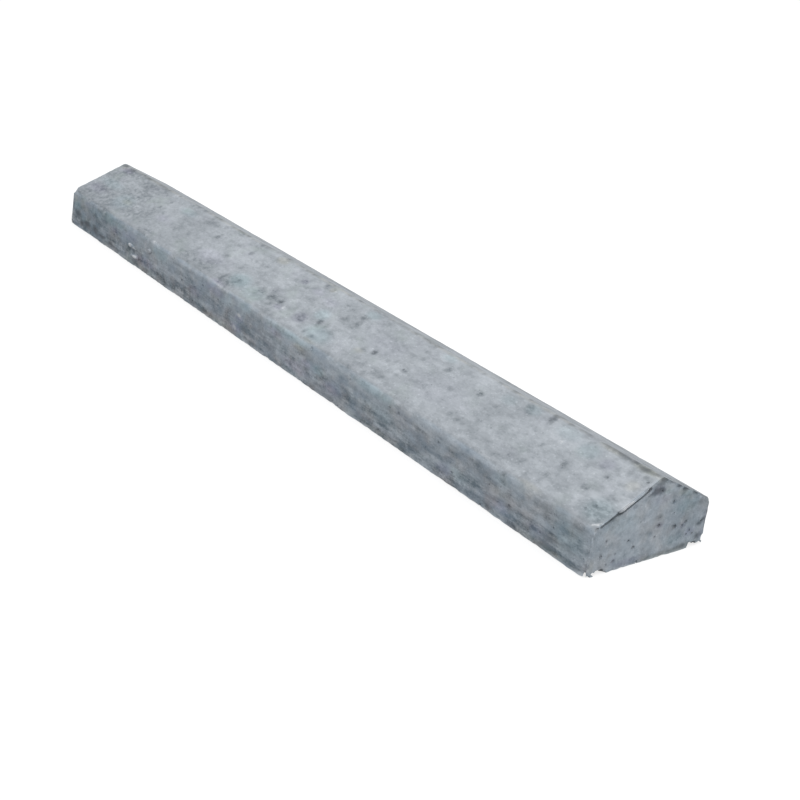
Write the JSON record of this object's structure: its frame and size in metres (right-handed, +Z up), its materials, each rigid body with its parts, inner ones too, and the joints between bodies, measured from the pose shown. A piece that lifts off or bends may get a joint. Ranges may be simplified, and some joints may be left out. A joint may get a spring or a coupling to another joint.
{
  "type": "concrete wall coping",
  "caption": "Long twice-weathered precast concrete coping with a low ridge, short upright sides and drip grooves along its flat underside, for the top of a thin wall.",
  "frame": {"origin": "centre of the flat underside, at its foot", "axes": "+X along the coping, +Y across the wall, +Z up towards the ridge; the underside lies in Z = 0"},
  "size_m": [1, 0.15, 0.0794],
  "materials": {
    "concrete": "matt pale blue-grey cast concrete, finely pitted, with faint mottled stains"
  },
  "bodies": {
    "root": {"coping_stone": "concrete"}
  },
  "joints": []
}
